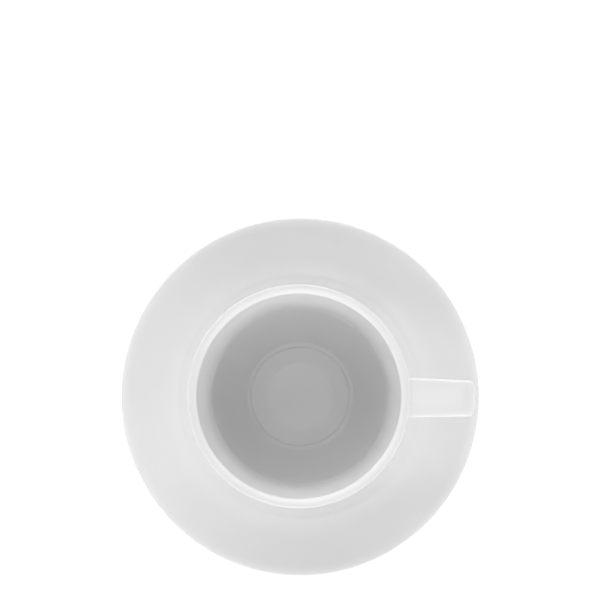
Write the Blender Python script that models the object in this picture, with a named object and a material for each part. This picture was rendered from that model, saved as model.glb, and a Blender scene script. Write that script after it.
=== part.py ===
"""Porcelain coffee cup on its saucer: a turned saucer, a turned cup and a strap handle luted to the cup's wall.

Metres, +Z up. The origin is on the table, on the axis that the saucer and the cup share. The handle points
along +X. Heights on the saucer are measured from the table, heights on the cup from the plane of its foot.
"""

import math

import bmesh
import bpy
from mathutils import Matrix, Vector

MM = 0.001

# Saucer
SAUCER_DIAMETER = 150.0 * MM
SAUCER_HEIGHT = 19.0 * MM
SAUCER_WALL = 4.0 * MM
SAUCER_BEND_DIAMETER = 113.0 * MM
SAUCER_BEND_RISE = 4.4 * MM
SAUCER_BEND_FILLET = 20.0 * MM
SAUCER_FOOT_DIAMETER = 90.4 * MM
SAUCER_FOOT_WIDTH = 4.0 * MM
SAUCER_FOOT_HEIGHT = 3.2 * MM

# Well in the saucer for the cup's foot
WELL_DEPTH = 1.0 * MM
WELL_PLAY = 1.0 * MM

# Cup
CUP_RIM_DIAMETER = 90.0 * MM
CUP_HEIGHT = 58.0 * MM
CUP_WALL = 3.7 * MM
CUP_KNEE_DIAMETER = 80.4 * MM
CUP_KNEE_HEIGHT = 22.1 * MM
CUP_KNEE_FILLET = 4.0 * MM
CUP_FLOOR_THICKNESS = 3.8 * MM
CUP_FLOOR_FILLET = 3.0 * MM
CUP_FOOT_DIAMETER = 47.6 * MM
CUP_FOOT_WIDTH = 3.4 * MM
CUP_FOOT_HEIGHT = 2.4 * MM

# Strap handle
HANDLE_REACH = 70.8 * MM
HANDLE_THICKNESS = 4.8 * MM
HANDLE_ROOT_WIDTH = 15.6 * MM
HANDLE_TIP_WIDTH = 14.4 * MM
HANDLE_TOP_DROP = 0.7 * MM
HANDLE_LOW_RISE = 3.9 * MM
HANDLE_LEG_LEAN = math.radians(13.0)
HANDLE_TOP_BEND = 1.4 * MM
HANDLE_LOW_BEND = 6.5 * MM
HANDLE_FLARE = 0.5 * MM
HANDLE_FLARE_LENGTH = 4.0 * MM
HANDLE_CROWN_POWER = 3.2

# Gaps at the fits, and small edges
SEAT_GAP = 0.3 * MM
LUTE_GAP = 0.3 * MM
FOOT_FILLET = 0.7 * MM
WELL_FILLET = 0.8 * MM

# Facets
TURN_STEPS = 64
ARC_STEP = math.radians(30.0)
BEND_STEP = math.radians(15.0)
SECTION_POINTS = 20
STATION_SPACING = 3.0 * MM
WELD_DISTANCE = 0.01 * MM

# Finish
GLAZE_COLOUR = (0.83, 0.83, 0.82, 1.0)
GLAZE_ROUGHNESS = 0.12


def clear_scene():
    """Removes every object of the scene."""
    for obj in list(bpy.data.objects):
        bpy.data.objects.remove(obj, do_unlink=True)


def glaze(name):
    """Clear gloss glaze over white porcelain."""
    material = bpy.data.materials.new(name)
    material.use_nodes = True
    shader = material.node_tree.nodes["Principled BSDF"]
    shader.inputs["Base Color"].default_value = GLAZE_COLOUR
    shader.inputs["Roughness"].default_value = GLAZE_ROUGHNESS
    shader.inputs["Metallic"].default_value = 0.0
    return material


def rounded(corners, arc_step):
    """Points of a path through (x, z, radius) corners, with an arc wherever a corner has a radius."""
    points = []
    for index, (x, z, radius) in enumerate(corners):
        corner = Vector((x, z))
        if radius == 0.0:
            points.append(corner)
            continue
        back = Vector(corners[index - 1][:2]) - corner
        ahead = Vector(corners[index + 1][:2]) - corner
        half = back.angle(ahead) / 2.0
        tangent = min(radius / math.tan(half), back.length / 2.0, ahead.length / 2.0)
        middle = (back.normalized() + ahead.normalized()).normalized()
        centre = corner + middle * (tangent / math.cos(half))
        spoke = corner + back.normalized() * tangent - centre
        turn = math.copysign(math.pi - 2.0 * half, ahead.cross(back))
        pieces = max(2, math.ceil(abs(turn) / arc_step))
        for step in range(pieces + 1):
            points.append(centre + Matrix.Rotation(turn * step / pieces, 2) @ spoke)
    return points


def beside(line, distance):
    """Corners of a line moved to the right of the way it runs, so that each stretch keeps the distance."""
    ways = [(end - start).normalized() for start, end in zip(line, line[1:])]
    moved = []
    for index, corner in enumerate(line):
        sides = [Vector((way.y, -way.x)) for way in ways[max(index - 1, 0):index + 1]]
        mitre = sum(sides, Vector((0.0, 0.0))).normalized()
        moved.append(corner + mitre * (distance / mitre.dot(sides[0])))
    return moved


def at_height(start, end, z):
    """Point at a height on the straight line through two points."""
    return start.lerp(end, (z - start.y) / (end.y - start.y))


def at_radius(start, end, x):
    """Point at a distance from the axis on the straight line through two points."""
    return start.lerp(end, (x - start.x) / (end.x - start.x))


def edge_corners(centre, way, radius):
    """Left and right corners that a wall running along the way has before its edge is made full round."""
    left = Vector((-way.y, way.x))
    tip = centre + way * radius
    return tip + left * radius, tip - left * radius


def mesh_object(name, bm):
    """Scene object that holds a finished bmesh, shaded smooth."""
    mesh = bpy.data.meshes.new(name)
    bm.to_mesh(mesh)
    bm.free()
    mesh.shade_smooth()
    obj = bpy.data.objects.new(name, mesh)
    bpy.context.scene.collection.objects.link(obj)
    return obj


def turned(name, corners):
    """Solid turned about Z from the corners of its profile, which starts and ends on the axis."""
    bm = bmesh.new()
    verts = [bm.verts.new((point.x, 0.0, point.y)) for point in rounded(corners, ARC_STEP)]
    for upper, lower in zip(verts, verts[1:]):
        bm.edges.new((upper, lower))
    obj = mesh_object(name, bm)
    screw = obj.modifiers.new("turn", "SCREW")
    screw.steps = TURN_STEPS
    screw.render_steps = TURN_STEPS
    screw.use_merge_vertices = True
    screw.merge_threshold = WELD_DISTANCE
    screw.use_smooth_shade = True
    return obj


def seat_height():
    """Height above the table of the well's floor, on which the cup stands."""
    return SAUCER_FOOT_HEIGHT + SAUCER_WALL


def build_saucer():
    """Saucer with a shallow well, a dish rising to a bend, a steeper rim with a full-round edge and a foot ring."""
    shelf = seat_height() + WELL_DEPTH
    well = CUP_FOOT_DIAMETER / 2.0 + WELL_PLAY
    well_edge = Vector((well + WELL_DEPTH, shelf))
    bend = Vector((SAUCER_BEND_DIAMETER / 2.0, shelf + SAUCER_BEND_RISE))

    # The rim's upper face runs from the bend and just touches the circle of the round edge.
    round_edge = SAUCER_WALL / 2.0
    edge = Vector((SAUCER_DIAMETER / 2.0 - round_edge, SAUCER_HEIGHT - round_edge))
    chord = edge - bend
    uphill = Matrix.Rotation(math.asin(round_edge / chord.length), 2) @ chord.normalized()
    tip_top, tip_under = edge_corners(edge, uphill, round_edge)

    # The underside follows the dish at the wall's thickness and is level under the well.
    dish_under, bend_under, _ = beside([well_edge, bend, tip_top], SAUCER_WALL)
    foot_outer = at_radius(dish_under, bend_under, SAUCER_FOOT_DIAMETER / 2.0)
    foot_inner = at_radius(dish_under, bend_under, foot_outer.x - SAUCER_FOOT_WIDTH)
    hollow = at_height(dish_under, bend_under, SAUCER_FOOT_HEIGHT)

    saucer = turned("saucer", [
        (0.0, seat_height(), 0.0),
        (well, seat_height(), WELL_FILLET),
        (well_edge.x, well_edge.y, WELL_FILLET),
        (bend.x, bend.y, SAUCER_BEND_FILLET),
        (tip_top.x, tip_top.y, round_edge),
        (tip_under.x, tip_under.y, round_edge),
        (bend_under.x, bend_under.y, SAUCER_BEND_FILLET + SAUCER_WALL),
        (foot_outer.x, foot_outer.y, FOOT_FILLET),
        (foot_outer.x, 0.0, FOOT_FILLET),
        (foot_inner.x, 0.0, FOOT_FILLET),
        (foot_inner.x, foot_inner.y, FOOT_FILLET),
        (hollow.x, hollow.y, WELL_FILLET),
        (0.0, hollow.y, 0.0),
    ])
    saucer.data.materials.append(glaze("saucer_glaze"))
    return saucer


def cup_outside():
    """Corners of the cup's outer wall: the rim, the knee and the top of the foot."""
    return [
        Vector((CUP_RIM_DIAMETER / 2.0, CUP_HEIGHT)),
        Vector((CUP_KNEE_DIAMETER / 2.0, CUP_KNEE_HEIGHT)),
        Vector((CUP_FOOT_DIAMETER / 2.0, CUP_FOOT_HEIGHT)),
    ]


def lip_corners(radius):
    """Inner and outer corners of the cup's lip, whose round edge of a radius has its centre within the wall."""
    rim, knee, _ = cup_outside()
    middle_rim, middle_knee = beside([rim, knee], CUP_WALL / 2.0)
    centre = at_height(middle_rim, middle_knee, CUP_HEIGHT - CUP_WALL / 2.0)
    return edge_corners(centre, (rim - knee).normalized(), radius)


def build_cup_body(cup):
    """Cup with a steep upper wall, a soft knee, a conical lower wall, a flat floor and a foot ring."""
    _, knee, foot = cup_outside()
    _, knee_inside, foot_inside = beside(cup_outside(), CUP_WALL)
    floor = CUP_FOOT_HEIGHT + CUP_FLOOR_THICKNESS
    floor_edge = at_height(knee_inside, foot_inside, floor)
    lip = CUP_WALL / 2.0
    lip_inner, lip_outer = lip_corners(lip)
    foot_inner = foot.x - CUP_FOOT_WIDTH

    body = turned("cup_body", [
        (0.0, floor, 0.0),
        (floor_edge.x, floor, CUP_FLOOR_FILLET),
        (knee_inside.x, knee_inside.y, CUP_KNEE_FILLET),
        (lip_inner.x, lip_inner.y, lip),
        (lip_outer.x, lip_outer.y, lip),
        (knee.x, knee.y, CUP_KNEE_FILLET + CUP_WALL),
        (foot.x, foot.y, FOOT_FILLET),
        (foot.x, 0.0, FOOT_FILLET),
        (foot_inner, 0.0, FOOT_FILLET),
        (foot_inner, CUP_FOOT_HEIGHT, FOOT_FILLET),
        (0.0, CUP_FOOT_HEIGHT, 0.0),
    ])
    body.data.materials.append(glaze("cup_glaze"))
    body.parent = cup
    return body


def handle_path():
    """Middle line of the strap, from inside the wall at the upper root to inside the wall at the lower root."""
    rim, knee, _ = cup_outside()
    half = HANDLE_THICKNESS / 2.0
    top = CUP_HEIGHT - HANDLE_TOP_DROP - half
    low = CUP_KNEE_HEIGHT + HANDLE_LOW_RISE
    top_bend = HANDLE_TOP_BEND + half
    low_bend = HANDLE_LOW_BEND + half
    turn = math.pi / 2.0 + HANDLE_LEG_LEAN
    shoulder = HANDLE_REACH - half + top_bend * (math.tan(turn / 2.0) - 1.0)
    heel = shoulder - (top - low) * math.tan(HANDLE_LEG_LEAN)
    bends = rounded([
        (at_height(rim, knee, top).x - CUP_WALL, top, 0.0),
        (shoulder, top, top_bend),
        (heel, low, low_bend),
        (at_height(rim, knee, low).x - CUP_WALL, low, 0.0),
    ], BEND_STEP)

    path = [bends[0]]
    for start, end in zip(bends, bends[1:]):
        pieces = max(1, round((end - start).length / STATION_SPACING))
        path.extend(start.lerp(end, step / pieces) for step in range(1, pieces + 1))
    return path


def strap_section(width, thickness):
    """Outline of the strap as (across, through) pairs: flat faces with a slight crown and round edges."""
    outline = []
    for index in range(SECTION_POINTS):
        angle = 2.0 * math.pi * index / SECTION_POINTS
        across = abs(math.cos(angle)) ** (2.0 / HANDLE_CROWN_POWER)
        through = abs(math.sin(angle)) ** (2.0 / HANDLE_CROWN_POWER)
        outline.append((
            math.copysign(across * width / 2.0, math.cos(angle)),
            math.copysign(through * thickness / 2.0, math.sin(angle)),
        ))
    return outline


def sweep_strap():
    """Bmesh of the strap: its section carried along the path, slimmest at the tip and flared at both roots."""
    path = handle_path()
    travelled = [0.0]
    for start, end in zip(path, path[1:]):
        travelled.append(travelled[-1] + (end - start).length)
    whole = travelled[-1]

    bm = bmesh.new()
    loops = []
    for index, point in enumerate(path):
        way = (path[min(index + 1, len(path) - 1)] - path[max(index - 1, 0)]).normalized()
        outward = Vector((-way.y, way.x))
        from_tip = abs(2.0 * travelled[index] / whole - 1.0)
        from_wall = min(travelled[index], whole - travelled[index]) - CUP_WALL
        flare = 2.0 * HANDLE_FLARE * max(0.0, 1.0 - max(0.0, from_wall) / HANDLE_FLARE_LENGTH) ** 2
        width = HANDLE_TIP_WIDTH + (HANDLE_ROOT_WIDTH - HANDLE_TIP_WIDTH) * from_tip + flare
        ring = []
        for across, through in strap_section(width, HANDLE_THICKNESS + flare):
            spot = point + outward * through
            ring.append(bm.verts.new((spot.x, across, spot.y)))
        loops.append([bm.edges.new((ring[at - 1], ring[at])) for at in range(SECTION_POINTS)])
    for loop, following in zip(loops, loops[1:]):
        bmesh.ops.bridge_loops(bm, edges=loop + following)
    bmesh.ops.holes_fill(bm, edges=loops[0] + loops[-1])
    bmesh.ops.recalc_face_normals(bm, faces=bm.faces)
    return bm


def build_cup_handle(cup):
    """Strap handle, swept round an angular loop and trimmed to the cup's wall at both roots."""
    handle = mesh_object("cup_handle", sweep_strap())
    handle.data.materials.append(glaze("handle_glaze"))
    handle.parent = cup

    # The roots follow the cup's wall and lip, less the gap that the luting slip fills.
    _, knee, foot = beside(cup_outside(), -LUTE_GAP)
    lip = CUP_WALL / 2.0 + LUTE_GAP
    lip_inner, lip_outer = lip_corners(lip)
    wall = turned("handle_root_trim", [
        (0.0, lip_inner.y, 0.0),
        (lip_inner.x, lip_inner.y, 0.0),
        (lip_outer.x, lip_outer.y, lip),
        (knee.x, knee.y, CUP_KNEE_FILLET + CUP_WALL + LUTE_GAP),
        (foot.x, foot.y, 0.0),
        (0.0, foot.y, 0.0),
    ])
    wall.parent = cup
    wall.hide_render = True
    wall.display_type = "WIRE"
    trim = handle.modifiers.new("trim_to_wall", "BOOLEAN")
    trim.operation = "DIFFERENCE"
    trim.object = wall
    return handle


def main():
    """Builds the saucer, then the cup and its handle under one empty that stands in the saucer's well."""
    clear_scene()
    build_saucer()
    cup = bpy.data.objects.new("cup", None)
    cup.location = (0.0, 0.0, seat_height() + SEAT_GAP)
    bpy.context.scene.collection.objects.link(cup)
    build_cup_body(cup)
    build_cup_handle(cup)


main()
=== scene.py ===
"""Fine shapes, finishes and studio of a porcelain coffee cup on its saucer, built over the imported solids.

Metres, +Z up, in the frame of the solids: the origin is on the table, on the axis that the saucer and the
cup share, and the handle points along +X.
"""

import logging
import math
from collections.abc import Mapping, Sequence
from dataclasses import dataclass, field
from enum import Enum
from typing import Any

import bmesh
import bpy
from mathutils import Matrix, Vector


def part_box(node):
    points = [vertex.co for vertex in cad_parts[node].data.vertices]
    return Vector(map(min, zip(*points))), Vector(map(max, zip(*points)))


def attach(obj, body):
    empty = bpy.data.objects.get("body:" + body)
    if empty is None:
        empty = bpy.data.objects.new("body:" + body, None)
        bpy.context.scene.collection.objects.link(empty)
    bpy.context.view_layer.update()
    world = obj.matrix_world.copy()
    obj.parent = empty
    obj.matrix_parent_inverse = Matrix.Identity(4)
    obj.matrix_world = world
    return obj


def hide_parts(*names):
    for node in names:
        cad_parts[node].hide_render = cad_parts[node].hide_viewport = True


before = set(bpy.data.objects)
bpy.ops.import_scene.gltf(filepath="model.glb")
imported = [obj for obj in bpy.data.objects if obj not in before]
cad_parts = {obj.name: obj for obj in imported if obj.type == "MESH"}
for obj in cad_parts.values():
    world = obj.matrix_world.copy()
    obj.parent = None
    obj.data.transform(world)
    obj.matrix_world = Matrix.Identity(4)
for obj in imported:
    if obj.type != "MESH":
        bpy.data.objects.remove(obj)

LOG = logging.getLogger("cup_and_saucer")
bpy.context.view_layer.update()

MM = 0.001

# Fineness of turned and swept shapes.
TURN_STEPS = 256
ARC_STEP = math.radians(4.0)
LEAST_ARC_STEPS = 3
STRAIGHT_STEP = 1.5 * MM

# Share of a straight stretch that the fillets at its ends may take up.
FILLET_ROOM = 0.998

# Points closer together than this are one point.
WELD_DISTANCE = 0.001 * MM


class Body(Enum):
    """Bodies of the frame that pieces ride on."""

    SAUCER = "saucer"
    CUP = "cup"


class Part(Enum):
    """Solids of the frame that pieces stand for."""

    SAUCER = "saucer"
    CUP_BODY = "cup_body"
    CUP_HANDLE = "cup_handle"


class Root(Enum):
    """Ends of the strap handle, where it is luted to the cup's wall."""

    UPPER = "upper"
    LOWER = "lower"


@dataclass(frozen=True)
class Corner:
    """Corner of a turned profile.

    Attributes:
        r: Distance from the axis.
        z: Height above the table.
        fillet: Radius that the corner is rounded to.
    """

    r: float
    z: float
    fillet: float = 0.0

    @property
    def point(self) -> Vector:
        """Place of the corner in the profile's plane, as (r, z)."""
        return Vector((self.r, self.z))


def at_radius(start: Vector, end: Vector, r: float) -> Vector:
    """Point at a distance from the axis on the straight line through two points."""
    return start.lerp(end, (r - start.x) / (end.x - start.x))


def at_height(start: Vector, end: Vector, z: float) -> Vector:
    """Point at a height on the straight line through two points."""
    return start.lerp(end, (z - start.y) / (end.y - start.y))


def beside(line: Sequence[Vector], distance: float) -> list[Vector]:
    """Moves a line to the right of the way it runs, so that each stretch keeps its distance.

    Args:
        line: Corners of the line, as (r, z).
        distance: Distance between the line and the moved one.

    Returns:
        Corners of the moved line.
    """
    ways = [(end - start).normalized() for start, end in zip(line, line[1:])]
    moved = []
    for index, corner in enumerate(line):
        sides = [Vector((way.y, -way.x)) for way in ways[max(index - 1, 0):index + 1]]
        mitre = sum(sides, Vector((0.0, 0.0))).normalized()
        moved.append(corner + mitre * (distance / mitre.dot(sides[0])))
    return moved


def end_corners(middle: Vector, way: Vector, half: float) -> tuple[Vector, Vector]:
    """Finds the corners of a wall's square end.

    Args:
        middle: Middle of the wall, half its thickness before the end, as (r, z).
        way: Way that the wall runs towards its end.
        half: Half of the wall's thickness.

    Returns:
        The corners on the left and on the right of the way.
    """
    left = Vector((-way.y, way.x))
    tip = middle + way * half
    return tip + left * half, tip - left * half


def linear(hex_colour: str) -> tuple[float, float, float, float]:
    """Turns an sRGB colour into linear light, by the curve of the sRGB standard.

    Args:
        hex_colour: Colour as #RRGGBB.

    Returns:
        Red, green, blue and an alpha of 1.
    """
    shares = [int(hex_colour[at:at + 2], 16) / 255.0 for at in (1, 3, 5)]
    red, green, blue = (
        share / 12.92 if share <= 0.04045 else ((share + 0.055) / 1.055) ** 2.4 for share in shares
    )
    return red, green, blue, 1.0


def add_node(
    tree: bpy.types.NodeTree,
    kind: str,
    settings: Mapping[str, Any] | None = None,
    sockets: Mapping[str | int, Any] | None = None,
) -> bpy.types.Node:
    """Adds a node with its settings, socket values and links.

    Args:
        tree: Node tree that takes the node.
        kind: Blender's type name of the node.
        settings: Properties of the node.
        sockets: Input sockets, each with a value or with the output socket that feeds it.

    Returns:
        The new node.
    """
    node = tree.nodes.new(kind)
    for name, value in (settings or {}).items():
        setattr(node, name, value)
    for name, value in (sockets or {}).items():
        if isinstance(value, bpy.types.NodeSocket):
            tree.links.new(value, node.inputs[name])
        else:
            node.inputs[name].default_value = value
    return node


def mesh_object(name: str, bm: bmesh.types.BMesh) -> bpy.types.Object:
    """Makes a smooth-shaded object from a finished bmesh.

    Args:
        name: Name of the piece.
        bm: Mesh of the piece, which is freed.

    Returns:
        The object, linked to the scene at the origin.
    """
    mesh = bpy.data.meshes.new(name)
    bm.to_mesh(mesh)
    bm.free()
    mesh.shade_smooth()
    piece = bpy.data.objects.new(name, mesh)
    bpy.context.scene.collection.objects.link(piece)
    return piece


def rounded_profile(bm: bmesh.types.BMesh, corners: Sequence[Corner]) -> None:
    """Draws a profile in the XZ plane, rounds its corners and divides its straight stretches.

    Fillets that don't fit on a stretch share it in proportion to their sizes.

    Args:
        bm: Empty mesh that takes the profile.
        corners: Corners of the profile, in order.
    """
    verts = [bm.verts.new((corner.r, 0.0, corner.z)) for corner in corners]
    for start, end in zip(verts, verts[1:]):
        bm.edges.new((start, end))
    turns = [0.0] * len(corners)
    reaches = [0.0] * len(corners)
    for index, corner in enumerate(corners[1:-1], 1):
        way_in = corner.point - corners[index - 1].point
        way_out = corners[index + 1].point - corner.point
        turns[index] = way_in.angle(way_out)
        reaches[index] = corner.fillet * math.tan(turns[index] / 2.0)
    for index, (start, end) in enumerate(zip(corners, corners[1:])):
        room = (end.point - start.point).length * FILLET_ROOM
        share = min(1.0, room / max(reaches[index] + reaches[index + 1], WELD_DISTANCE))
        reaches[index] *= share
        reaches[index + 1] *= share
    for vert, reach, turn in zip(verts, reaches, turns):
        if reach > 0.0:
            bmesh.ops.bevel(
                bm,
                geom=[vert],
                offset=reach,
                offset_type="OFFSET",
                affect="VERTICES",
                segments=max(LEAST_ARC_STEPS, math.ceil(turn / ARC_STEP)),
                profile=0.5,
                material=-1,
            )
    for edge in list(bm.edges):
        cuts = math.floor(edge.calc_length() / STRAIGHT_STEP)
        if cuts > 0:
            bmesh.ops.subdivide_edges(bm, edges=[edge], cuts=cuts)


def turned_piece(name: str, corners: Sequence[Corner]) -> bpy.types.Object:
    """Turns a profile that starts and ends on the axis into a closed piece.

    Args:
        name: Name of the piece.
        corners: Corners of the profile, in order.

    Returns:
        The turned object.
    """
    bm = bmesh.new()
    rounded_profile(bm, corners)
    bmesh.ops.spin(
        bm,
        geom=list(bm.verts) + list(bm.edges),
        cent=(0.0, 0.0, 0.0),
        axis=(0.0, 0.0, 1.0),
        dvec=(0.0, 0.0, 0.0),
        angle=math.tau,
        steps=TURN_STEPS,
        use_merge=True,
    )
    bmesh.ops.remove_doubles(bm, verts=bm.verts, dist=WELD_DISTANCE)
    bmesh.ops.recalc_face_normals(bm, faces=bm.faces)
    return mesh_object(name, bm)


def hand_over(piece: bpy.types.Object, body: Body, part: Part) -> None:
    """Puts a finished piece in the place of its solid.

    Args:
        piece: The finished piece.
        body: Body that carries it.
        part: Solid that it stands for.
    """
    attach(piece, body.value)
    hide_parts(part.value)


@dataclass(frozen=True)
class Relief:
    """Fine unevenness of a surface.

    Attributes:
        size: Distance across one bump.
        height: Height of the bumps.
        octaves: Octaves of finer bumps on them.
    """

    size: float
    height: float
    octaves: float = 1.0


@dataclass(frozen=True)
class GlazedPorcelain:
    """Hard-paste porcelain, dipped in clear feldspar glaze and fired, with foot rings wiped bare.

    The eye sees a neutral white body under a hard, wet-looking gloss. The glaze lies a little uneven, so
    that reflections waver slightly, and carries a few tiny iron specks. Bare porcelain is matt and a touch
    warmer.
    """

    glaze: str = "#E9E9E9"
    thick_glaze: str = "#E5E5E5"
    speck: str = "#A5A29C"
    biscuit: str = "#DEDAD2"
    ior: float = 1.5
    gloss_roughness: float = 0.07
    uneven_roughness: float = 0.10
    biscuit_roughness: float = 0.72

    # Slow changes in the glaze's thickness.
    cloud_size: float = 26.0 * MM
    cloud_octaves: float = 2.0

    # The glaze ripples where it ran and has a fine peel. The grain of bare porcelain is really finer than
    # 0.1 mm and is drawn coarser, because it would not show.
    ripple: Relief = Relief(9.0 * MM, 0.006 * MM)
    peel: Relief = Relief(1.6 * MM, 0.0006 * MM)
    grain: Relief = Relief(0.35 * MM, 0.012 * MM, octaves=3.0)

    # Iron specks are really about 0.2 mm wide and are drawn about a pixel wide, because they would not
    # show. The blur is the share of a speck's radius over which its edge fades.
    speck_spacing: float = 17.0 * MM
    speck_width: float = 0.45 * MM
    speck_blur: float = 0.5
    speck_share: float = 0.45

    # The glaze line wanders where a sponge wiped the foot ring.
    wipe_wander: float = 0.25 * MM
    wipe_size: float = 6.0 * MM
    wipe_octaves: float = 1.0

    def material(self, name: str, bare_below: float) -> bpy.types.Material:
        """Makes the material.

        Args:
            name: Name of the material.
            bare_below: Height under which the foot ring is wiped bare.

        Returns:
            The material, on Object coordinates.
        """
        material = bpy.data.materials.new(name)
        material.use_nodes = True
        tree = material.node_tree
        tree.nodes.clear()
        place = add_node(tree, "ShaderNodeTexCoord").outputs["Object"]
        clouds = add_node(tree, "ShaderNodeTexNoise", {}, {
            "Vector": place, "Scale": 1.0 / self.cloud_size, "Detail": self.cloud_octaves,
        }).outputs["Fac"]
        bare = self._bare_mask(tree, place, bare_below)
        # Clear glaze over white porcelain: soft white from the body, under sharp, faintly wavering
        # reflections.
        shader = add_node(tree, "ShaderNodeBsdfPrincipled", {}, {
            "Base Color": self._colour(tree, place, clouds, bare),
            "Roughness": self._roughness(tree, clouds, bare),
            "IOR": self.ior,
            "Normal": self._relief(tree, place, bare),
        })
        add_node(tree, "ShaderNodeOutputMaterial", {}, {"Surface": shader.outputs["BSDF"]})
        return material

    def _bare_mask(
        self, tree: bpy.types.NodeTree, place: bpy.types.NodeSocket, bare_below: float
    ) -> bpy.types.NodeSocket:
        """Marks the wiped foot ring, whose glaze line wanders as a sponge leaves it.

        Args:
            tree: Node tree of the material.
            place: Coordinates in metres.
            bare_below: Height of the glaze line.

        Returns:
            1 where the porcelain is bare and 0 where it is glazed.
        """
        height = add_node(tree, "ShaderNodeSeparateXYZ", {}, {"Vector": place}).outputs["Z"]
        wander = add_node(tree, "ShaderNodeTexNoise", {}, {
            "Vector": place, "Scale": 1.0 / self.wipe_size, "Detail": self.wipe_octaves,
        })
        line = add_node(tree, "ShaderNodeMath", {"operation": "MULTIPLY_ADD"}, {
            0: wander.outputs["Fac"], 1: -self.wipe_wander, 2: height,
        })
        edge = add_node(tree, "ShaderNodeMapRange", {"interpolation_type": "SMOOTHSTEP"}, {
            "Value": line.outputs[0],
            "From Min": bare_below - self.wipe_wander,
            "From Max": bare_below,
            "To Min": 1.0,
            "To Max": 0.0,
        })
        return edge.outputs["Result"]

    def _colour(
        self,
        tree: bpy.types.NodeTree,
        place: bpy.types.NodeSocket,
        clouds: bpy.types.NodeSocket,
        bare: bpy.types.NodeSocket,
    ) -> bpy.types.NodeSocket:
        """Mixes thin and thick glaze, iron specks and bare porcelain.

        Args:
            tree: Node tree of the material.
            place: Coordinates in metres.
            clouds: Slow pattern of the glaze's thickness.
            bare: Mask of bare porcelain.

        Returns:
            The base colour.
        """
        white = add_node(tree, "ShaderNodeMix", {"data_type": "RGBA"}, {
            "Factor": clouds, "A": linear(self.glaze), "B": linear(self.thick_glaze),
        })
        speck_radius = self.speck_width / 2.0 / self.speck_spacing
        cells = add_node(tree, "ShaderNodeTexVoronoi", {}, {
            "Vector": place, "Scale": 1.0 / self.speck_spacing,
        })
        near = add_node(tree, "ShaderNodeMapRange", {"interpolation_type": "SMOOTHSTEP"}, {
            "Value": cells.outputs["Distance"],
            "From Min": speck_radius * (1.0 - self.speck_blur),
            "From Max": speck_radius * (1.0 + self.speck_blur),
            "To Min": 1.0,
            "To Max": 0.0,
        })
        chance = add_node(tree, "ShaderNodeSeparateColor", {}, {"Color": cells.outputs["Color"]})
        strength = add_node(tree, "ShaderNodeMath", {"operation": "MULTIPLY"}, {
            0: near.outputs["Result"], 1: chance.outputs["Red"],
        })
        share = add_node(tree, "ShaderNodeMath", {"operation": "MULTIPLY"}, {
            0: strength.outputs[0], 1: self.speck_share,
        })
        specked = add_node(tree, "ShaderNodeMix", {"data_type": "RGBA"}, {
            "Factor": share.outputs[0], "A": white.outputs["Result"], "B": linear(self.speck),
        })
        whole = add_node(tree, "ShaderNodeMix", {"data_type": "RGBA"}, {
            "Factor": bare, "A": specked.outputs["Result"], "B": linear(self.biscuit),
        })
        return whole.outputs["Result"]

    def _roughness(
        self, tree: bpy.types.NodeTree, clouds: bpy.types.NodeSocket, bare: bpy.types.NodeSocket
    ) -> bpy.types.NodeSocket:
        """Mixes the gloss of the glaze, a little uneven, with the matt foot ring.

        Args:
            tree: Node tree of the material.
            clouds: Slow pattern of the glaze's thickness.
            bare: Mask of bare porcelain.

        Returns:
            The roughness.
        """
        gloss = add_node(tree, "ShaderNodeMapRange", {}, {
            "Value": clouds, "To Min": self.gloss_roughness, "To Max": self.uneven_roughness,
        })
        whole = add_node(tree, "ShaderNodeMix", {}, {
            "Factor": bare, "A": gloss.outputs["Result"], "B": self.biscuit_roughness,
        })
        return whole.outputs["Result"]

    def _relief(
        self, tree: bpy.types.NodeTree, place: bpy.types.NodeSocket, bare: bpy.types.NodeSocket
    ) -> bpy.types.NodeSocket:
        """Lays the glaze's ripple and peel, and the grain of the bare ring, over the surface.

        Args:
            tree: Node tree of the material.
            place: Coordinates in metres.
            bare: Mask of bare porcelain.

        Returns:
            The shading normal.
        """
        under: dict[str, bpy.types.NodeSocket] = {}
        for relief, strength in ((self.ripple, 1.0), (self.peel, 1.0), (self.grain, bare)):
            bumps = add_node(tree, "ShaderNodeTexNoise", {}, {
                "Vector": place, "Scale": 1.0 / relief.size, "Detail": relief.octaves,
            })
            layer = add_node(tree, "ShaderNodeBump", {}, {
                "Height": bumps.outputs["Fac"], "Distance": relief.height, "Strength": strength, **under,
            })
            under = {"Normal": layer.outputs["Normal"]}
        return under["Normal"]


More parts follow.
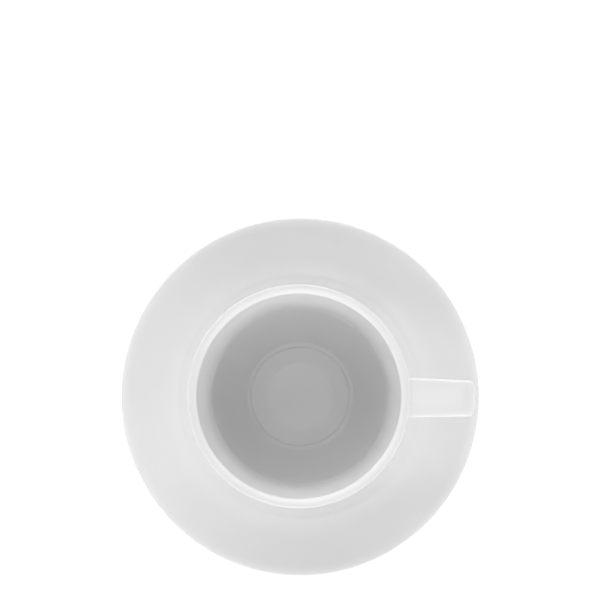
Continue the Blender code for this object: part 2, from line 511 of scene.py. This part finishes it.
@dataclass
class Saucer:
    """Saucer with a well for the cup's foot, a dish with a faint turned step, a steep rim and a foot ring.

    The rim ends in a narrow level band with a tight edge.
    """

    finish: GlazedPorcelain
    radius: float = field(default_factory=lambda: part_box(Part.SAUCER.value)[1].x)
    height: float = field(default_factory=lambda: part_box(Part.SAUCER.value)[1].z)
    wall: float = 4.0 * MM

    # The rim's level band has a tight edge, over a flank that is slightly undercut.
    edge_fillet: float = 0.5 * MM
    edge_undercut: float = 0.4 * MM
    edge_round: float = 2.0 * MM
    level_width: float = 2.2 * MM
    level_fillet: float = 10.0 * MM

    # The dish slopes from the well, over a faint step, to the bend where the rim starts.
    bend_radius: float = 56.5 * MM
    bend_rise: float = 4.4 * MM
    bend_fillet: float = 20.0 * MM
    step_radius: float = 51.7 * MM
    step_width: float = 1.8 * MM
    step_rise: float = 0.14 * MM
    step_fillet: float = 3.0 * MM

    foot_radius: float = 45.2 * MM
    foot_width: float = 4.0 * MM
    foot_height: float = 3.2 * MM
    foot_fillet: float = 0.7 * MM
    well_radius: float = 24.8 * MM
    well_depth: float = 1.0 * MM
    well_fillet: float = 0.8 * MM
    glaze_line: float = 0.55 * MM

    def corners(self) -> list[Corner]:
        """Works out the saucer's profile.

        Returns:
            Corners from the middle of the well over the rim to the middle of the underside.
        """
        seat = self.foot_height + self.wall
        well_edge = Vector((self.well_radius + self.well_depth, seat + self.well_depth))
        bend = Vector((self.bend_radius, well_edge.y + self.bend_rise))
        step_start = at_radius(well_edge, bend, self.step_radius - self.step_width)
        step_end = at_radius(well_edge, bend, self.step_radius) + Vector((0.0, self.step_rise))
        edge = Vector((self.radius, self.height))
        level = at_radius(bend, edge, self.radius - self.level_width)
        dish_under, bend_under, edge_under = beside([well_edge, bend, edge], self.wall)
        under = at_radius(bend_under, edge_under, self.radius - self.edge_undercut)
        foot_outer = at_radius(dish_under, bend_under, self.foot_radius)
        foot_inner = at_radius(dish_under, bend_under, self.foot_radius - self.foot_width)
        hollow = at_height(dish_under, bend_under, self.foot_height)
        return [
            Corner(0.0, seat),
            Corner(self.well_radius, seat, self.well_fillet),
            Corner(well_edge.x, well_edge.y, self.well_fillet),
            Corner(step_start.x, step_start.y, self.step_fillet),
            Corner(step_end.x, step_end.y, self.step_fillet),
            Corner(bend.x, bend.y, self.bend_fillet),
            Corner(level.x, level.y, self.level_fillet),
            Corner(edge.x, level.y, self.edge_fillet),
            Corner(under.x, under.y, self.edge_round),
            Corner(bend_under.x, bend_under.y, self.bend_fillet + self.wall),
            Corner(foot_outer.x, foot_outer.y, self.foot_fillet),
            Corner(foot_outer.x, 0.0, self.foot_fillet),
            Corner(foot_inner.x, 0.0, self.foot_fillet),
            Corner(foot_inner.x, foot_inner.y, self.foot_fillet),
            Corner(hollow.x, hollow.y, self.well_fillet),
            Corner(0.0, hollow.y),
        ]

    def build(self) -> bpy.types.Object:
        """Turns the saucer and dresses it.

        Returns:
            The finished piece.
        """
        piece = turned_piece("saucer_porcelain", self.corners())
        piece.data.materials.append(self.finish.material("glazed_porcelain_saucer", self.glaze_line))
        hand_over(piece, Body.SAUCER, Part.SAUCER)
        return piece


@dataclass
class CupBody:
    """Cup with a steep upper wall, a soft knee, a conical base, a flat floor and a foot ring."""

    finish: GlazedPorcelain
    foot_z: float = field(default_factory=lambda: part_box(Part.CUP_BODY.value)[0].z)
    rim_z: float = field(default_factory=lambda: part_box(Part.CUP_BODY.value)[1].z)
    rim_reach: float = field(default_factory=lambda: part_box(Part.CUP_BODY.value)[1].x)
    wall: float = 3.7 * MM

    # The top of the lip slopes inwards, and its inner corner is thinned and softened.
    lip_inset: float = 0.2 * MM
    lip_fillet: float = 0.9 * MM
    lip_slant: float = 0.5 * MM
    lip_thinning: float = 0.25 * MM
    lip_flare: float = 4.0 * MM
    knee_radius: float = 40.2 * MM
    knee_rise: float = 22.1 * MM
    knee_fillet: float = 4.0 * MM

    # The inner wall swells outwards at this share of the way from the knee to the lip.
    swell_share: float = 0.55
    swell_depth: float = 0.6 * MM
    swell_fillet: float = 180.0 * MM

    # The floor has a low crown and a turned groove, and a narrow band, the toe, leads to the conical base.
    floor_thickness: float = 3.8 * MM
    crown_radius: float = 14.0 * MM
    crown_height: float = 0.5 * MM
    crown_fillet: float = 8.0 * MM
    groove_radius: float = 20.8 * MM
    groove_width: float = 0.4 * MM
    groove_depth: float = 0.38 * MM
    groove_fillet: float = 0.2 * MM
    toe_width: float = 1.2 * MM
    toe_rise: float = 0.26 * MM
    toe_fillet: float = 2.5 * MM
    base_rise: float = 0.55 * MM
    base_fillet: float = 1.5 * MM

    foot_radius: float = 23.8 * MM
    foot_width: float = 3.4 * MM
    foot_height: float = 2.4 * MM
    foot_fillet: float = 0.7 * MM
    glaze_line: float = 0.55 * MM

    @property
    def half(self) -> float:
        """Half of the wall's thickness."""
        return self.wall / 2.0

    @property
    def lip_middle(self) -> Vector:
        """Middle of the wall at the lip, about which a full-round lip would turn, as (r, z)."""
        return Vector((self.rim_reach - self.lip_inset - self.half, self.rim_z - self.half))

    @property
    def knee(self) -> Vector:
        """Outer corner between the steep wall and the conical base, as (r, z)."""
        return Vector((self.knee_radius, self.foot_z + self.knee_rise))

    @property
    def wall_way(self) -> Vector:
        """Way of the outer wall from the knee up to where it touches the round of a full-round lip."""
        chord = self.lip_middle - self.knee
        return Matrix.Rotation(-math.asin(self.half / chord.length), 2) @ chord.normalized()

    def seat_radius(self, z: float) -> float:
        """Finds how far from the axis the handle seats on the outer wall.

        Near the rim that is the round of a full-round lip, which lies just inside the real one.

        Args:
            z: Height above the table, from the knee to the rim.

        Returns:
            Radius of the steep wall or, near the rim, of that round.
        """
        way = self.wall_way
        over = z - self.lip_middle.y
        if over > -self.half * way.x:
            return self.lip_middle.x + math.sqrt(max(0.0, self.half ** 2 - over ** 2))
        return self.knee.x + way.x * (z - self.knee.y) / way.y

    def corners(self) -> list[Corner]:
        """Works out the cup's profile.

        Returns:
            Corners from the middle of the floor over the lip to the middle of the underside.
        """
        lip_inner, lip_outer = end_corners(self.lip_middle, self.wall_way, self.half)
        lip_inner += Vector((self.lip_thinning, 0.0)) - self.wall_way * self.lip_slant
        foot_top = self.foot_z + self.foot_height
        foot = Vector((self.foot_radius, foot_top))
        rim = self.knee + self.wall_way * (self.rim_z - self.knee.y)
        _, knee_inside, foot_inside = beside([rim, self.knee, foot], self.wall)
        floor_z = foot_top + self.floor_thickness
        base = at_height(knee_inside, foot_inside, floor_z + self.base_rise)
        swell = knee_inside.lerp(lip_inner, self.swell_share) + Vector((self.swell_depth, 0.0))
        foot_inner = self.foot_radius - self.foot_width
        return [
            Corner(0.0, floor_z + self.crown_height),
            Corner(self.crown_radius, floor_z + self.crown_height, self.crown_fillet),
            Corner(self.groove_radius - self.groove_width, floor_z, self.groove_fillet),
            Corner(self.groove_radius, floor_z - self.groove_depth, self.groove_fillet),
            Corner(self.groove_radius + self.groove_width, floor_z, self.groove_fillet),
            Corner(self.groove_radius + self.toe_width, floor_z + self.toe_rise, self.toe_fillet),
            Corner(base.x, base.y, self.base_fillet),
            Corner(knee_inside.x, knee_inside.y, self.knee_fillet),
            Corner(swell.x, swell.y, self.swell_fillet),
            Corner(lip_inner.x, lip_inner.y, self.lip_flare),
            Corner(lip_outer.x, lip_outer.y, self.lip_fillet),
            Corner(self.knee.x, self.knee.y, self.knee_fillet + self.wall),
            Corner(self.foot_radius, foot_top, self.foot_fillet),
            Corner(self.foot_radius, self.foot_z, self.foot_fillet),
            Corner(foot_inner, self.foot_z, self.foot_fillet),
            Corner(foot_inner, foot_top, self.foot_fillet),
            Corner(0.0, foot_top),
        ]

    def build(self) -> bpy.types.Object:
        """Turns the cup's body and dresses it.

        Returns:
            The finished piece.
        """
        piece = turned_piece("cup_body_porcelain", self.corners())
        bare_below = self.foot_z + self.glaze_line
        piece.data.materials.append(self.finish.material("glazed_porcelain_cup", bare_below))
        hand_over(piece, Body.CUP, Part.CUP_BODY)
        return piece


@dataclass
class StrapHandle:
    """Strap handle: a crowned section swept round an angular loop, with a fillet of slip at both roots."""

    finish: GlazedPorcelain
    cup: CupBody
    reach: float = field(default_factory=lambda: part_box(Part.CUP_HANDLE.value)[1].x)
    thickness: float = 4.8 * MM
    root_width: float = 15.8 * MM
    tip_width: float = 14.2 * MM

    # The loop has a level arm just under the rim, a leg that leans inwards and a level arm above the knee.
    top_drop: float = 0.7 * MM
    low_rise: float = 3.9 * MM
    leg_lean: float = math.radians(13.0)
    top_bend: float = 1.4 * MM
    low_bend: float = 6.5 * MM

    # Power of the section's superellipse, where 2 is an ellipse and more is squarer.
    crown_power: float = 3.2

    # The fillet of slip stays under the crown of the lip, and each root ends inside the wall.
    root_fillet: float = 1.0 * MM
    lip_clearance: float = 0.06 * MM
    root_depth: float = 0.5 * MM
    section_points: int = 72
    fillet_steps: int = 8

    def route(self) -> list[Vector]:
        """Works out the strap's middle line in the XZ plane.

        Returns:
            Points as (x, z), from near the upper root to near the lower root.
        """
        half = self.thickness / 2.0
        top = self.cup.rim_z - self.top_drop - half
        low = self.cup.knee.y + self.low_rise
        top_bend = self.top_bend + half
        low_bend = self.low_bend + half
        turn = math.pi / 2.0 + self.leg_lean
        shoulder = self.reach - half + top_bend * (math.tan(turn / 2.0) - 1.0)
        heel = shoulder - (top - low) * math.tan(self.leg_lean)
        clear = self.root_fillet + STRAIGHT_STEP
        bm = bmesh.new()
        rounded_profile(bm, [
            Corner(self.cup.seat_radius(top) + clear, top),
            Corner(shoulder, top, top_bend),
            Corner(heel, low, low_bend),
            Corner(self.cup.seat_radius(low) + clear, low),
        ])
        ends = [vert for vert in bm.verts if len(vert.link_edges) == 1]
        vert = max(ends, key=lambda end: end.co.z)
        route = [Vector((vert.co.x, vert.co.z))]
        edge = vert.link_edges[0]
        while len(vert.link_edges) == 2 or len(route) == 1:
            vert = edge.other_vert(vert)
            route.append(Vector((vert.co.x, vert.co.z)))
            edge = next((other for other in vert.link_edges if other is not edge), edge)
        bm.free()
        return route

    def outline(self, width: float) -> list[tuple[Vector, Vector]]:
        """Draws a section of the strap, with slightly crowned faces and round edges.

        Args:
            width: Width of the strap at this section.

        Returns:
            Points and outward normals, each as (across, through).
        """
        outline = []
        for index in range(self.section_points):
            angle = math.tau * index / self.section_points
            share = Vector((math.cos(angle), math.sin(angle)))
            unit = [math.copysign(abs(part) ** (2.0 / self.crown_power), part) for part in share]
            point = Vector((unit[0] * width / 2.0, unit[1] * self.thickness / 2.0))
            slope = [math.copysign(abs(part) ** (self.crown_power - 1.0), part) for part in unit]
            normal = Vector((slope[0] / width, slope[1] / self.thickness)).normalized()
            outline.append((point, normal))
        return outline

    def across(self, middle: Vector, outward: Vector, width: float) -> list[Vector]:
        """Sets a section square to the strap's middle line.

        Args:
            middle: Point of the middle line, as (x, z).
            outward: Way out of the loop there, as (x, z).
            width: Width of the strap there.

        Returns:
            Places of the section's points.
        """
        spots = []
        for point, _ in self.outline(width):
            spot = middle + outward * point.y
            spots.append(Vector((spot.x, point.x, spot.y)))
        return spots

    def on_wall(self, root: Root, z: float, turn: float, depth: float = 0.0) -> list[Vector]:
        """Sets a section of a root along the cup's wall, where the strap spreads in a fillet of slip.

        At the upper root the strap's top face rises to the crown of the lip instead of spreading.

        Args:
            root: Which of the two roots.
            z: Height of the strap's middle line at the root.
            turn: Angle through the fillet, from 0 at the free strap to a quarter turn at the wall.
            depth: How far the section is sunk into the wall.

        Returns:
            Places of the section's points.
        """
        spread = self.root_fillet * (1.0 - math.cos(turn))
        off_wall = self.root_fillet * (1.0 - math.sin(turn)) - depth
        top_rise = (self.top_drop - self.lip_clearance) * math.sin(turn) ** 2
        highest = self.cup.rim_z - self.lip_clearance
        spots = []
        for point, normal in self.outline(self.root_width):
            upward = max(0.0, normal.y) if root is Root.UPPER else 0.0
            lift = (1.0 - upward) * spread * normal.y + upward * top_rise
            y = point.x + normal.x * spread
            height = min(z + point.y + lift, highest)
            seat = self.cup.seat_radius(height)
            spots.append(Vector((math.sqrt(seat ** 2 - y ** 2) + off_wall, y, height)))
        return spots

    def root_sections(self, root: Root, z: float) -> list[list[Vector]]:
        """Sets the sections of a root.

        Args:
            root: Which of the two roots.
            z: Height of the strap's middle line at the root.

        Returns:
            Sections from the free strap to the end inside the wall.
        """
        quarter = math.pi / 2.0
        turns = [quarter * step / self.fillet_steps for step in range(self.fillet_steps + 1)]
        sections = [self.on_wall(root, z, turn) for turn in turns]
        sections.append(self.on_wall(root, z, quarter, self.root_depth))
        return sections

    def ring(self, bm: bmesh.types.BMesh, section: Sequence[Vector]) -> list[bmesh.types.BMEdge]:
        """Adds one section of the strap to its mesh.

        Args:
            bm: Mesh of the strap.
            section: Places of the section's points.

        Returns:
            Edges of the section, ready to be bridged.
        """
        verts = bmesh.ops.create_circle(bm, segments=len(section), radius=1.0)["verts"]
        for vert, spot in zip(verts, section):
            vert.co = spot
        return list({edge for vert in verts for edge in vert.link_edges})

    def sweep(self) -> bmesh.types.BMesh:
        """Sweeps the strap along its route and closes it with both roots.

        Returns:
            Mesh of the closed strap.
        """
        route = self.route()
        sections = self.root_sections(Root.UPPER, route[0].y)[::-1]
        for index, middle in enumerate(route):
            way = (route[min(index + 1, len(route) - 1)] - route[max(index - 1, 0)]).normalized()
            outward = Vector((-way.y, way.x))
            from_tip = min(1.0, (self.reach - middle.x) / (self.reach - route[0].x))
            width = self.tip_width + (self.root_width - self.tip_width) * from_tip
            sections.append(self.across(middle, outward, width))
        sections += self.root_sections(Root.LOWER, route[-1].y)
        bm = bmesh.new()
        rings = [self.ring(bm, section) for section in sections]
        for ring, following in zip(rings, rings[1:]):
            bmesh.ops.bridge_loops(bm, edges=ring + following)
        bmesh.ops.holes_fill(bm, edges=rings[0] + rings[-1])
        bmesh.ops.recalc_face_normals(bm, faces=bm.faces)
        return bm

    def build(self) -> bpy.types.Object:
        """Sweeps the handle and dresses it, glazed all over.

        Returns:
            The finished piece.
        """
        piece = mesh_object("cup_handle_porcelain", self.sweep())
        piece.data.materials.append(self.finish.material("glazed_porcelain_handle", bare_below=0.0))
        hand_over(piece, Body.CUP, Part.CUP_HANDLE)
        return piece


def hang(lamp: bpy.types.AreaLight, area: float, radiance: float, place: Vector, mirrored: bool) -> None:
    """Hangs a softbox so that it faces the object.

    Args:
        lamp: Lamp of the softbox, with its shape and size.
        area: Area that shines.
        radiance: Brightness, where 1 looks white.
        place: Where it hangs.
        mirrored: Whether the glaze mirrors it, or only takes its light as through a frosted tent.
    """
    # An area lamp shines as a matt surface does, with its energy spread over pi times its area.
    lamp.energy = math.pi * area * radiance
    softbox = bpy.data.objects.new(lamp.name, lamp)
    softbox.location = place
    softbox.rotation_euler = (-place).to_track_quat("-Z", "Y").to_euler()
    softbox.visible_glossy = mirrored
    bpy.context.scene.collection.objects.link(softbox)


@dataclass(frozen=True)
class SoftboxRow:
    """Row of softboxes that stand edge to edge round the object and face it.

    Attributes:
        name: Name of the row.
        elevation: Angle of the middle of the row above the table, in degrees.
        spread: Angle that the row covers in height, in degrees.
        radiances: Brightness of each softbox, from +X towards +Y, where 1 looks white.
        mirrored: Whether the glaze mirrors the row.
        distance: Distance from the origin.
    """

    name: str
    elevation: float
    spread: float
    radiances: tuple[float, ...]
    mirrored: bool = True
    distance: float = 2.0

    def build(self) -> None:
        """Hangs the softboxes of the row."""
        up = math.sin(math.radians(self.elevation))
        flat = math.cos(math.radians(self.elevation))
        height = 2.0 * self.distance * math.tan(math.radians(self.spread) / 2.0)
        width = 2.0 * self.distance * flat * math.tan(math.pi / len(self.radiances))
        for index, radiance in enumerate(self.radiances):
            lamp = bpy.data.lights.new(f"{self.name}_{index}", "AREA")
            lamp.shape = "RECTANGLE"
            lamp.size, lamp.size_y = width, height
            azimuth = math.tau * index / len(self.radiances)
            away = Vector((math.cos(azimuth) * flat, math.sin(azimuth) * flat, up))
            hang(lamp, width * height, radiance, away * self.distance, self.mirrored)


@dataclass(frozen=True)
class TopSoftbox:
    """Round softbox that hangs straight over the object.

    Attributes:
        name: Name of the softbox.
        spread: Angle that it covers, in degrees.
        radiance: Brightness, where 1 looks white.
        mirrored: Whether the glaze mirrors it.
        distance: Height above the table.
    """

    name: str
    spread: float
    radiance: float
    mirrored: bool = True
    distance: float = 2.0

    def build(self) -> None:
        """Hangs the softbox."""
        lamp = bpy.data.lights.new(self.name, "AREA")
        lamp.shape = "DISK"
        radius = self.distance * math.tan(math.radians(self.spread) / 2.0)
        lamp.size = 2.0 * radius
        hang(lamp, math.pi * radius ** 2, self.radiance, Vector((0.0, 0.0, self.distance)), self.mirrored)


@dataclass(frozen=True)
class Studio:
    """Pale table that keeps the shadow, in a white surround, under four rows of softboxes and two on top.

    Attributes:
        table_size: Side of the square table.
        table_colour: Paint of the table.
        table_lift: Light added to the table where it is seen, so that it looks white.
        surround_colour: Colour that the surround shows.
        lamps: Softboxes. Those in the same direction hang at different distances, because lamps in one
            place would hide each other.
    """

    table_size: float = 8.0
    table_colour: str = "#9C9C9C"
    table_lift: float = 0.78
    surround_colour: str = "#FFFFFF"
    lamps: tuple[SoftboxRow | TopSoftbox, ...] = (
        TopSoftbox("softbox_top", spread=44.0, radiance=0.6, mirrored=False),
        TopSoftbox("softbox_top_glint", spread=15.0, radiance=0.7, distance=1.9),
        SoftboxRow(
            "softbox_low",
            elevation=12.0,
            spread=24.0,
            radiances=(0.6, 0.6, 1.5, 0.9, 1.2, 1.2, 2.4, 1.2),
            mirrored=False,
        ),
        SoftboxRow(
            "softbox_glint",
            elevation=12.0,
            spread=24.0,
            radiances=(0.0, 0.5, 2.0, 0.5, 0.0, 0.0, 0.5, 0.5),
            distance=1.8,
        ),
        SoftboxRow(
            "softbox_ring",
            elevation=26.0,
            spread=4.0,
            radiances=(9.0, 10.0, 9.0, 9.0, 9.0, 9.0, 8.0, 10.0),
            mirrored=False,
        ),
        SoftboxRow(
            "softbox_high",
            elevation=39.0,
            spread=22.0,
            radiances=(0.0, 0.0, 0.8, 0.8, 0.0, 0.6, 1.2, 0.6),
        ),
    )

    def build(self) -> None:
        """Sets the table, the surround and the lamps."""
        self._table()
        self._surround()
        for lamp in self.lamps:
            lamp.build()

    def _seen(self, tree: bpy.types.NodeTree) -> bpy.types.NodeSocket:
        """Marks rays from the camera and those that reflect or pass on what the camera sees.

        Args:
            tree: Node tree of the table or the surround.

        Returns:
            1 for those rays and 0 for rays that only bring light.
        """
        path = add_node(tree, "ShaderNodeLightPath").outputs
        either = add_node(tree, "ShaderNodeMath", {"operation": "MAXIMUM"}, {
            0: path["Is Camera Ray"], 1: path["Is Glossy Ray"],
        })
        any_of = add_node(tree, "ShaderNodeMath", {"operation": "MAXIMUM"}, {
            0: either.outputs[0], 1: path["Is Transmission Ray"],
        })
        return any_of.outputs[0]

    def _table(self) -> None:
        """Lays the table, pale enough to look white and shaded by what stands on it."""
        bm = bmesh.new()
        bmesh.ops.create_grid(bm, x_segments=1, y_segments=1, size=self.table_size / 2.0)
        table = mesh_object("table", bm)
        material = bpy.data.materials.new("painted_board")
        material.use_nodes = True
        tree = material.node_tree
        tree.nodes.clear()
        # Matt paint on a board: even and without reflections, so that only the soft shadow shows on it.
        board = add_node(tree, "ShaderNodeBsdfDiffuse", {}, {"Color": linear(self.table_colour)})
        lift = add_node(tree, "ShaderNodeMath", {"operation": "MULTIPLY"}, {
            0: self._seen(tree), 1: self.table_lift,
        })
        glow = add_node(tree, "ShaderNodeEmission", {}, {"Strength": lift.outputs[0]})
        both = add_node(tree, "ShaderNodeAddShader", {}, {0: board.outputs[0], 1: glow.outputs[0]})
        add_node(tree, "ShaderNodeOutputMaterial", {}, {"Surface": both.outputs[0]})
        table.data.materials.append(material)

    def _surround(self) -> None:
        """Makes the surround white to the eye and in reflections, though it lights nothing."""
        world = bpy.data.worlds.new("white_surround")
        bpy.context.scene.world = world
        world.use_nodes = True
        tree = world.node_tree
        tree.nodes.clear()
        glow = add_node(tree, "ShaderNodeBackground", {}, {
            "Color": linear(self.surround_colour), "Strength": self._seen(tree),
        })
        add_node(tree, "ShaderNodeOutputWorld", {}, {"Surface": glow.outputs[0]})


@dataclass(frozen=True)
class TopCamera:
    """Camera that looks down on the cup from almost straight above.

    Attributes:
        place: Place of the lens.
        image_size: Side of the square image, in pixels.
        focal_pixels: Focal length, in pixels of that image.
        aim: Point on the object that is held on a pixel.
        aim_pixel: That pixel, counted from the image's upper left corner.
        roll: Turn of the image about the line of sight.
        sensor: Width of the sensor, in millimetres.
    """

    place: Vector = field(default_factory=lambda: Vector((12.0 * MM, -2.0 * MM, 1.0)))
    image_size: float = 600.0
    focal_pixels: float = 2340.0
    aim: Vector = field(default_factory=lambda: Vector((0.0, 0.0, 19.0 * MM)))
    aim_pixel: tuple[float, float] = (300.05, 396.3)
    roll: float = math.radians(0.8)
    sensor: float = 36.0

    def build(self) -> bpy.types.Object:
        """Sets up the camera as the scene's own.

        Returns:
            The camera.
        """
        lens = bpy.data.cameras.new("top_camera")
        lens.sensor_width = self.sensor
        lens.lens = self.focal_pixels / self.image_size * self.sensor
        camera = bpy.data.objects.new("top_camera", lens)
        bpy.context.scene.collection.objects.link(camera)
        middle = self.image_size / 2.0
        sight = Vector((self.aim_pixel[0] - middle, middle - self.aim_pixel[1], -self.focal_pixels))
        level = Matrix.Rotation(self.roll, 3, "Z")
        swing = (level @ sight).rotation_difference(self.aim - self.place).to_matrix()
        camera.matrix_world = Matrix.Translation(self.place) @ (swing @ level).to_4x4()
        bpy.context.scene.camera = camera
        return camera


def main() -> None:
    """Builds the camera, the pieces and the studio in order, and reports each piece."""
    logging.basicConfig(level=logging.INFO, format="%(name)s: %(message)s")
    bpy.context.scene.view_settings.view_transform = "Standard"
    TopCamera().build()
    porcelain = GlazedPorcelain()
    cup = CupBody(porcelain)
    for sub_assembly in (Saucer(porcelain), cup, StrapHandle(porcelain, cup)):
        piece = sub_assembly.build()
        LOG.info("%s: %d faces", piece.name, len(piece.data.polygons))
    Studio().build()


if __name__ == "__main__":
    main()
